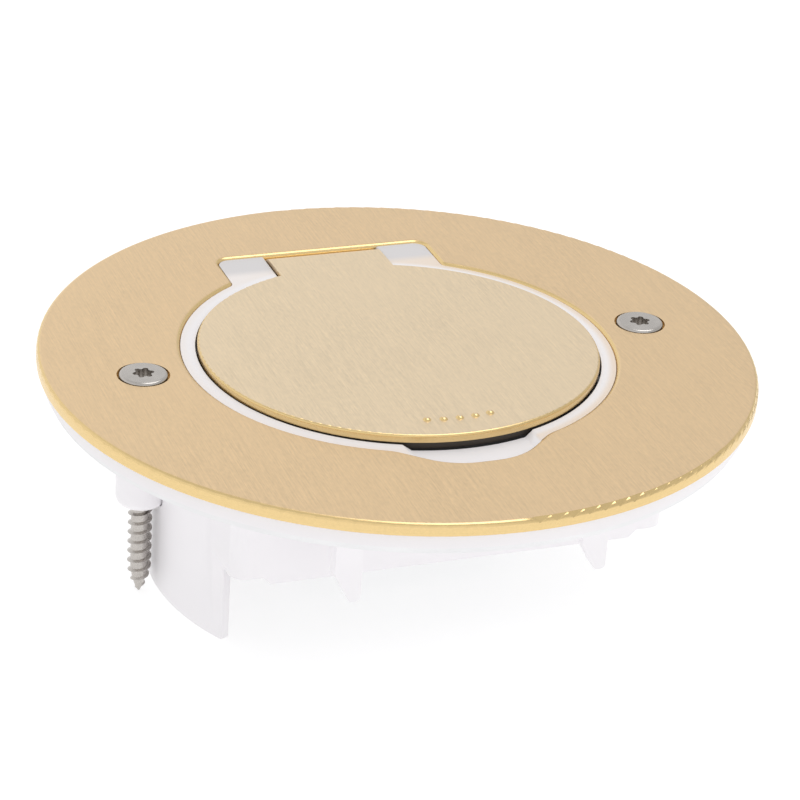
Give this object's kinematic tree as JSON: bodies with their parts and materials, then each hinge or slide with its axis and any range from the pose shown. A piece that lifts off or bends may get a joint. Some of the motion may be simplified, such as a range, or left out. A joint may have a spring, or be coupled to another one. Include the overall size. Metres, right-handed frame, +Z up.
{
  "type": "floor socket box",
  "caption": "Round flush floor socket box: brass cover plate with a hinged lid over a recessed power outlet, in a moulded frame screwed into a floor box.",
  "frame": {"origin": "centre line of the cover plate in the plane where the floor seal lies on the floor", "axes": "+Z up out of the floor, +Y towards the lid's hinge, X through the two plate screws"},
  "size_m": [0.13, 0.13, 0.0452],
  "materials": {
    "brushed_brass": "fine straight brushed grain, polished edges",
    "stainless_steel": "bright turned",
    "zinc_steel": "bright zinc",
    "white_seal": "soft matt",
    "white_plastic": "moulded satin",
    "black_plastic": "moulded fine texture",
    "black_rubber": "matt",
    "nickel_plate": "satin nickel",
    "contact_brass": "rolled strip",
    "grey_plastic": "moulded",
    "orange_plastic": "moulded",
    "spring_steel": "drawn wire"
  },
  "bodies": {
    "root": {"cover_plate": "brushed_brass", "plate_screws": "stainless_steel", "liner_screws": "zinc_steel", "socket_screws": "zinc_steel", "rear_cover_screws": "zinc_steel", "terminal_screws": "zinc_steel", "hinge_pin": "stainless_steel", "floor_seal": "white_seal", "support_frame": "white_plastic", "guard_skirt": "white_plastic", "recess_floor": "white_plastic", "shutter_tray": "grey_plastic", "aperture_liner": "white_plastic", "socket_face": "white_plastic", "socket_seal": "black_rubber", "earth_pin": "nickel_plate", "earth_strap": "contact_brass", "contact_housing": "grey_plastic", "shutter_spring": "spring_steel", "live_contact": "contact_brass", "neutral_contact": "contact_brass", "live_terminal": "contact_brass", "neutral_terminal": "contact_brass", "earth_terminal": "contact_brass", "rear_cover": "grey_plastic"},
    "lid": {"lid_plate": "brushed_brass", "lid_backing": "black_plastic", "lid_seal": "black_rubber"},
    "shutter": {"shutter": "orange_plastic"}
  },
  "joints": [
    {"name": "lid_hinge", "type": "hinge", "parent": "root", "child": "lid", "pos_m": [0, 0.0414, 0.0036], "axis": [-1, 0, 0], "range_deg": [0, 100]},
    {"name": "shutter_slide", "type": "slide", "parent": "root", "child": "shutter", "axis": [0, -1, 0], "range_m": [0, 0.006], "stiffness_N_per_m": 60, "springref_m": -0.003, "deforming": ["shutter_spring"]}
  ]
}
